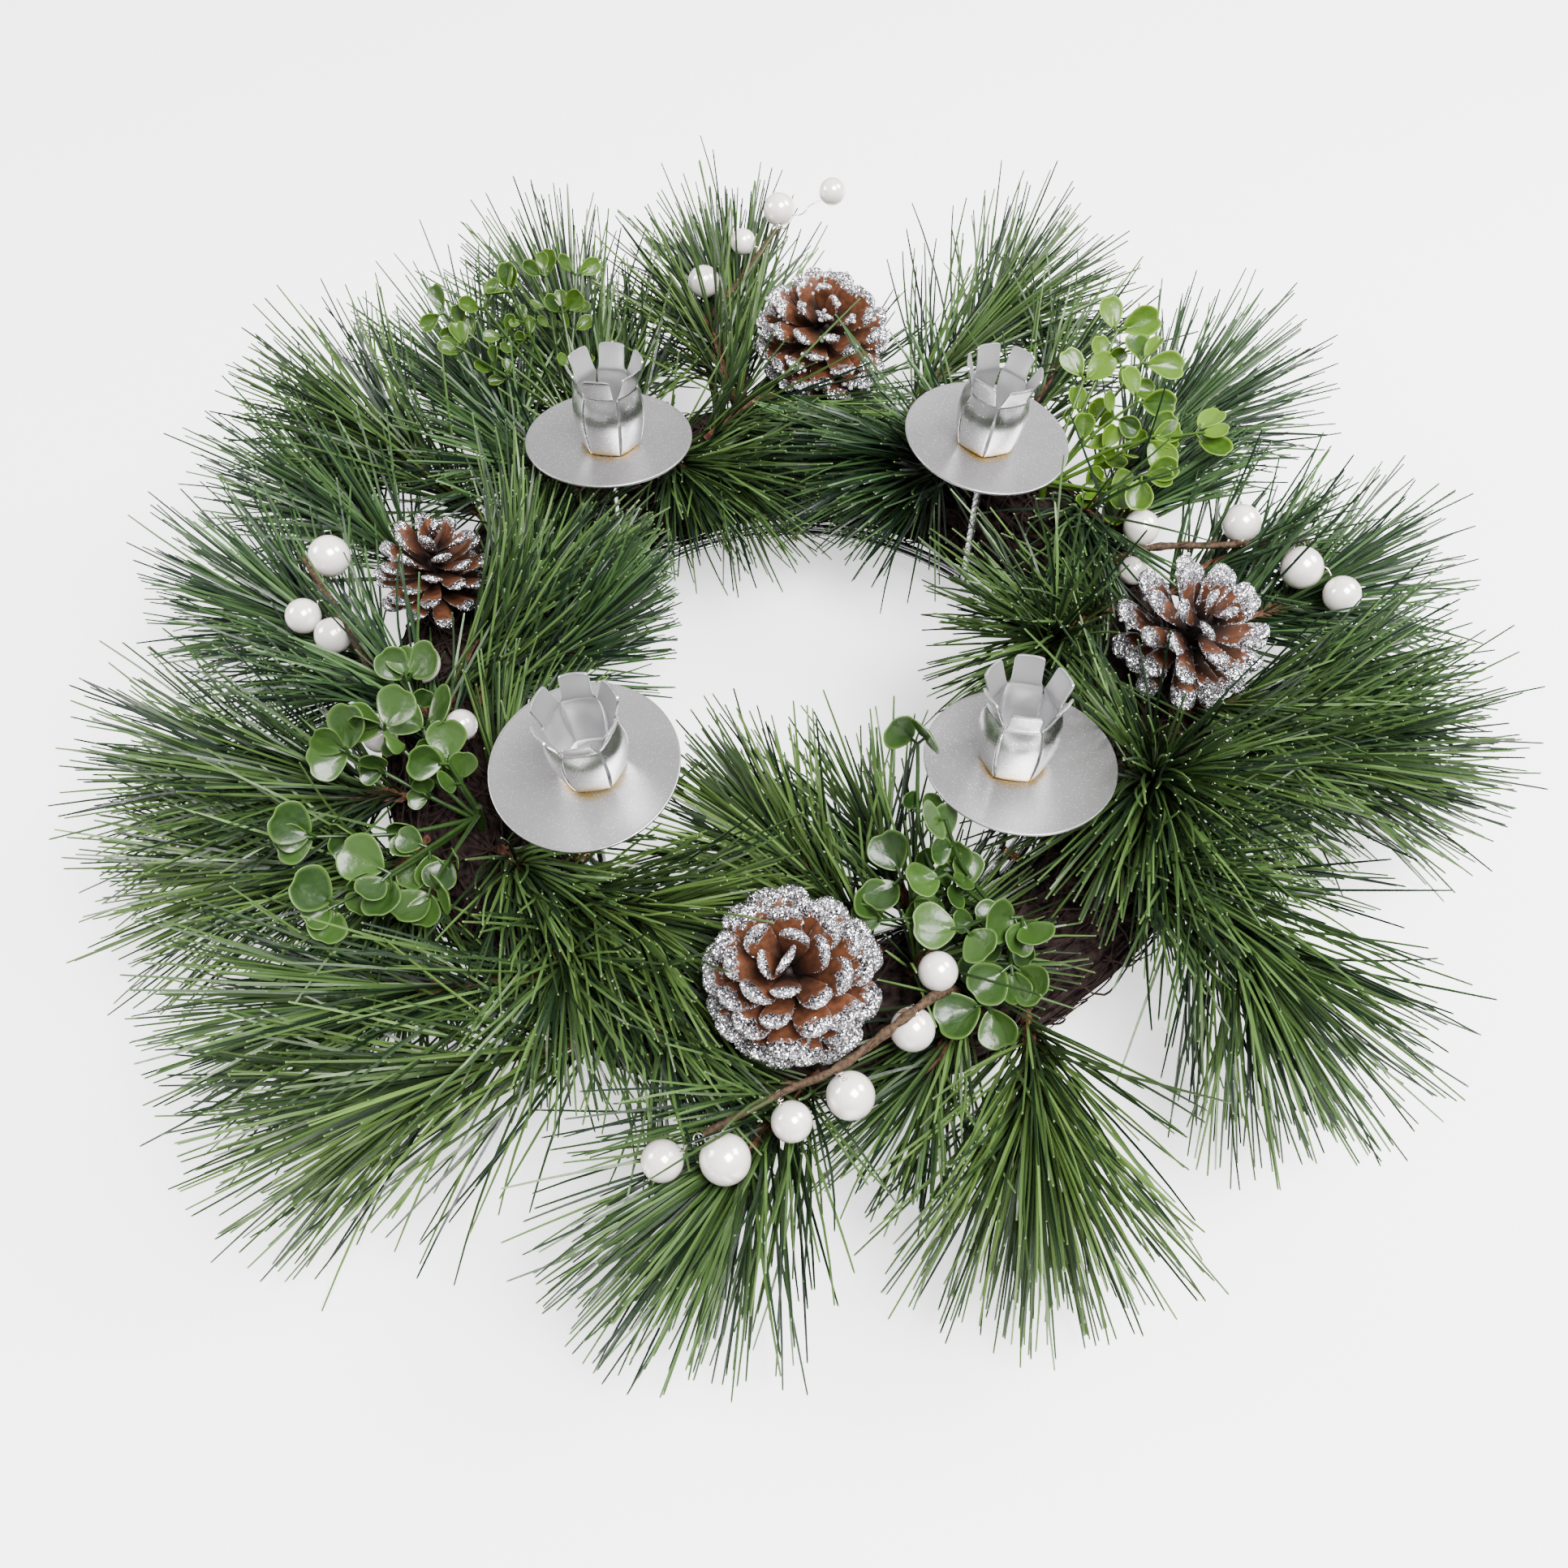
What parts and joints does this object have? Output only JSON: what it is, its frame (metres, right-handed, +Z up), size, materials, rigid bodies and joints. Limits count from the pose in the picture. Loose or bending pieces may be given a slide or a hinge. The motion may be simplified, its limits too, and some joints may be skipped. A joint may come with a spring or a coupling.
{
  "type": "advent wreath",
  "caption": "Advent wreath of artificial pine with cones, pearl sprays and leaf picks, round a wire ring that carries empty candle holders.",
  "frame": {"origin": "bottom centre of the whole wreath's box, on the table", "axes": "+Z up, +X to the viewer's right, +Y away from the viewer"},
  "size_m": [0.4878, 0.4876, 0.1224],
  "materials": {
    "root_brown": "matt dark brown fine roots wound into a ring",
    "ring_steel": "bright drawn steel wire",
    "tie_copper": "bare copper binding wire",
    "rod_steel": "silvered ribbed steel rod",
    "plate_silver": "satin silver with fine sparkle specks and a bright rim",
    "cup_silver": "satin silvered sheet with bright edges",
    "cone_brown": "dry brown scales dusted with silver glitter",
    "pearl_ivory": "ivory pearl beads on fine wires and a brown twig",
    "leaf_green": "glossy green plastic leaves with paler rims",
    "leaf_yellow_green": "glossy yellow-green plastic leaves with paler rims",
    "needle_green": "satin green plastic needles",
    "needle_blue_green": "satin dark blue-green plastic needles",
    "needle_light_green": "satin yellow-green plastic needles"
  },
  "bodies": {
    "root": {"cone_back": "cone_brown", "cone_front": "cone_brown", "cone_left": "cone_brown", "cone_right": "cone_brown", "cup_back_left": "cup_silver", "cup_back_right": "cup_silver", "cup_front_left": "cup_silver", "cup_front_right": "cup_silver", "leaves_back_left": "leaf_yellow_green", "leaves_back_right": "leaf_yellow_green", "leaves_front_left": "leaf_green", "leaves_front_right": "leaf_green", "pearls_back": "pearl_ivory", "pearls_front": "pearl_ivory", "pearls_left": "pearl_ivory", "pearls_right": "pearl_ivory", "plate_back_left": "plate_silver", "plate_back_right": "plate_silver", "plate_front_left": "plate_silver", "plate_front_right": "plate_silver", "ring_tie_1": "tie_copper", "ring_tie_2": "tie_copper", "ring_tie_3": "tie_copper", "ring_tie_4": "tie_copper", "ring_tie_5": "tie_copper", "rod_back_left": "rod_steel", "rod_back_right": "rod_steel", "rod_front_left": "rod_steel", "rod_front_right": "rod_steel", "root_ring": "root_brown", "spray_back": "needle_green", "spray_back_left": "needle_green", "spray_back_left_low": "needle_blue_green", "spray_back_right": "needle_green", "spray_front": "needle_green", "spray_front_left": "needle_light_green", "spray_front_left_low": "needle_light_green", "spray_front_right": "needle_light_green", "spray_inner_back": "needle_green", "spray_inner_back_right": "needle_blue_green", "spray_inner_front": "needle_light_green", "spray_inner_front_left": "needle_light_green", "spray_inner_left": "needle_green", "spray_inner_left_low": "needle_blue_green", "spray_inner_right": "needle_green", "spray_left": "needle_blue_green", "spray_left_back": "needle_blue_green", "spray_left_front": "needle_green", "spray_left_low": "needle_light_green", "spray_left_up": "needle_green", "spray_right_crown": "needle_green", "spray_right_front": "needle_green", "spray_right_low": "needle_green", "spray_right_middle": "needle_blue_green", "spray_right_up": "needle_blue_green", "spray_upper_right": "needle_blue_green", "wire_ring_inner": "ring_steel", "wire_ring_outer": "ring_steel"}
  },
  "joints": []
}
